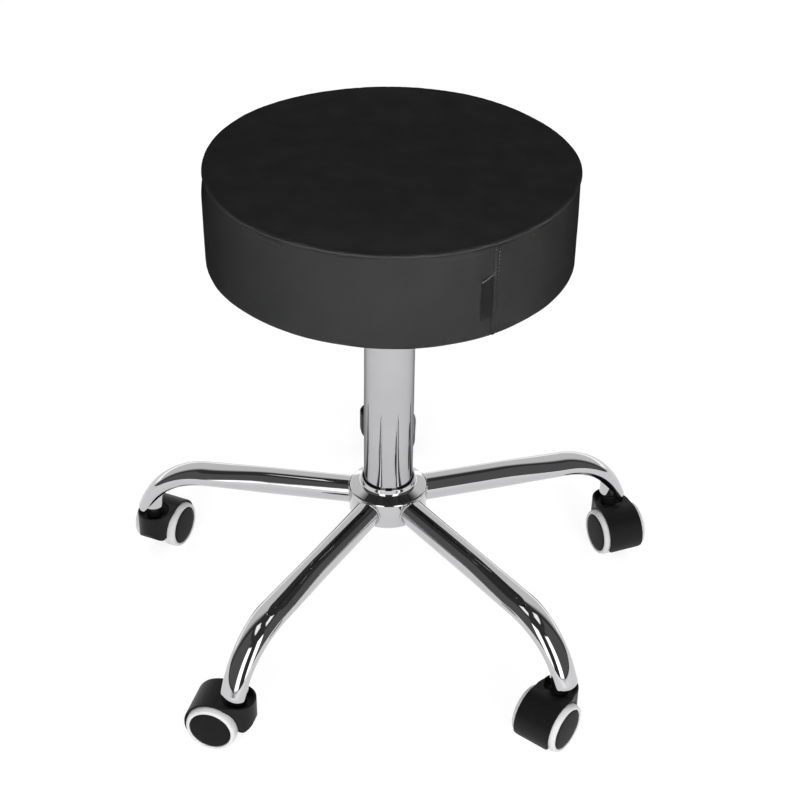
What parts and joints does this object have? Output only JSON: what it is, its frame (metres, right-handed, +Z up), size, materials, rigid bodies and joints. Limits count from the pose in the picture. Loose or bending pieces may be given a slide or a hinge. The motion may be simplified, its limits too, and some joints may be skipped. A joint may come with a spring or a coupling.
{
  "type": "adjustable swivel stool",
  "caption": "Backless round padded swivel stool on a gas spring column, with a side lever and a splayed chrome tube base on twin-wheel hooded casters.",
  "frame": {"origin": "centre of the bounding box's footprint, on the floor under the wheels", "axes": "+Z up along the column's axis; +X to the sitter's right, the side the lever is on; +Y to the rear; the seat's turning axis is 7 mm to -X and 12.5 mm to -Y of the origin, because the casters point different ways"},
  "size_m": [0.5586, 0.5487, 0.5075],
  "materials": {
    "chrome": "mirror chrome plate",
    "column_paint": "light grey, glossy",
    "bright_steel": "bright zinc",
    "black_steel": "black powder coat",
    "black_plastic": "satin black",
    "grey_tread": "soft light grey",
    "plywood": "bare plywood",
    "foam": "open-cell foam",
    "black_leather": "fine-grained black artificial leather",
    "dust_cloth": "black nonwoven"
  },
  "bodies": {
    "base": {"hub": "chrome", "arm_right": "chrome", "arm_back": "chrome", "arm_left": "chrome", "arm_front_left": "chrome", "arm_front_right": "chrome", "gas_spring_tube": "column_paint", "guide_bush": "black_plastic", "thrust_bearing": "bright_steel", "right_stem": "bright_steel", "back_stem": "bright_steel", "left_stem": "bright_steel", "front_left_stem": "bright_steel", "front_right_stem": "bright_steel"},
    "rod": {"piston_rod": "bright_steel", "retaining_clip": "black_steel"},
    "seat": {"gas_cylinder": "chrome", "seat_plate": "black_steel", "seat_board": "plywood", "foam_pad": "foam", "seat_cover": "black_leather", "dust_cloth": "dust_cloth", "seat_bolt_1": "bright_steel", "seat_bolt_2": "bright_steel", "seat_bolt_3": "bright_steel", "seat_bolt_4": "bright_steel", "lever_pivot_pin": "bright_steel"},
    "lever": {"lever_rod": "bright_steel", "lever_grip": "black_plastic"},
    "button": {"release_button": "black_steel"},
    "right_caster": {"right_hood": "black_plastic", "right_axle": "bright_steel"},
    "right_wheel_a": {"right_core_a": "black_plastic", "right_tread_a": "grey_tread"},
    "right_wheel_b": {"right_core_b": "black_plastic", "right_tread_b": "grey_tread"},
    "back_caster": {"back_hood": "black_plastic", "back_axle": "bright_steel"},
    "back_wheel_a": {"back_core_a": "black_plastic", "back_tread_a": "grey_tread"},
    "back_wheel_b": {"back_core_b": "black_plastic", "back_tread_b": "grey_tread"},
    "left_caster": {"left_hood": "black_plastic", "left_axle": "bright_steel"},
    "left_wheel_a": {"left_core_a": "black_plastic", "left_tread_a": "grey_tread"},
    "left_wheel_b": {"left_core_b": "black_plastic", "left_tread_b": "grey_tread"},
    "front_left_caster": {"front_left_hood": "black_plastic", "front_left_axle": "bright_steel"},
    "front_left_wheel_a": {"front_left_core_a": "black_plastic", "front_left_tread_a": "grey_tread"},
    "front_left_wheel_b": {"front_left_core_b": "black_plastic", "front_left_tread_b": "grey_tread"},
    "front_right_caster": {"front_right_hood": "black_plastic", "front_right_axle": "bright_steel"},
    "front_right_wheel_a": {"front_right_core_a": "black_plastic", "front_right_tread_a": "grey_tread"},
    "front_right_wheel_b": {"front_right_core_b": "black_plastic", "front_right_tread_b": "grey_tread"}
  },
  "joints": [
    {"name": "seat_swivel", "type": "hinge", "parent": "base", "child": "rod", "pos_m": [-0.007, -0.0125, 0.11], "axis": [0, 0, 1], "continuous": true},
    {"name": "seat_lift", "type": "slide", "parent": "rod", "child": "seat", "axis": [0, 0, 1], "range_m": [0, 0.13]},
    {"name": "lever_lift", "type": "hinge", "parent": "seat", "child": "lever", "pos_m": [0.017, -0.0125, 0.4026], "axis": [0, -1, 0], "range_deg": [0, 6], "stiffness_Nm_per_rad": 1, "springref_deg": -5.73},
    {"name": "button_press", "type": "slide", "parent": "seat", "child": "button", "axis": [0, 0, -1], "range_m": [0, 0.0027]},
    {"name": "right_swivel", "type": "hinge", "parent": "base", "child": "right_caster", "pos_m": [0.24256, 0.06859, 0.06], "axis": [0, 0, 1], "continuous": true},
    {"name": "right_spin_a", "type": "hinge", "parent": "right_caster", "child": "right_wheel_a", "pos_m": [0.24895, 0.0489, 0.025], "axis": [0.9511, 0.309, 0], "continuous": true},
    {"name": "right_spin_b", "type": "hinge", "parent": "right_caster", "child": "right_wheel_b", "pos_m": [0.24895, 0.0489, 0.025], "axis": [0.9511, 0.309, 0], "continuous": true},
    {"name": "back_swivel", "type": "hinge", "parent": "base", "child": "back_caster", "pos_m": [-0.007, 0.2499, 0.06], "axis": [0, 0, 1], "continuous": true},
    {"name": "back_spin_a", "type": "hinge", "parent": "back_caster", "child": "back_wheel_a", "pos_m": [0.01359, 0.24774, 0.025], "axis": [0.1045, 0.9945, 0], "continuous": true},
    {"name": "back_spin_b", "type": "hinge", "parent": "back_caster", "child": "back_wheel_b", "pos_m": [0.01359, 0.24774, 0.025], "axis": [0.1045, 0.9945, 0], "continuous": true},
    {"name": "left_swivel", "type": "hinge", "parent": "base", "child": "left_caster", "pos_m": [-0.25656, 0.06859, 0.06], "axis": [0, 0, 1], "continuous": true},
    {"name": "left_spin_a", "type": "hinge", "parent": "left_caster", "child": "left_wheel_a", "pos_m": [-0.2469, 0.0869, 0.025], "axis": [-0.8846, 0.4664, 0], "continuous": true},
    {"name": "left_spin_b", "type": "hinge", "parent": "left_caster", "child": "left_wheel_b", "pos_m": [-0.2469, 0.0869, 0.025], "axis": [-0.8846, 0.4664, 0], "continuous": true},
    {"name": "front_left_swivel", "type": "hinge", "parent": "base", "child": "front_left_caster", "pos_m": [-0.16123, -0.22479, 0.06], "axis": [0, 0, 1], "continuous": true},
    {"name": "front_left_spin_a", "type": "hinge", "parent": "front_left_caster", "child": "front_left_wheel_a", "pos_m": [-0.18086, -0.21822, 0.025], "axis": [-0.3173, -0.9483, 0], "continuous": true},
    {"name": "front_left_spin_b", "type": "hinge", "parent": "front_left_caster", "child": "front_left_wheel_b", "pos_m": [-0.18086, -0.21822, 0.025], "axis": [-0.3173, -0.9483, 0], "continuous": true},
    {"name": "front_right_swivel", "type": "hinge", "parent": "base", "child": "front_right_caster", "pos_m": [0.14724, -0.22479, 0.06], "axis": [0, 0, 1], "continuous": true},
    {"name": "front_right_spin_a", "type": "hinge", "parent": "front_right_caster", "child": "front_right_wheel_a", "pos_m": [0.13344, -0.24022, 0.025], "axis": [0.7455, -0.6665, 0], "continuous": true},
    {"name": "front_right_spin_b", "type": "hinge", "parent": "front_right_caster", "child": "front_right_wheel_b", "pos_m": [0.13344, -0.24022, 0.025], "axis": [0.7455, -0.6665, 0], "continuous": true}
  ],
  "couplings": [
    {"joint": "button_press", "follows": "lever_lift", "m_per_rad": 0.0255}
  ]
}
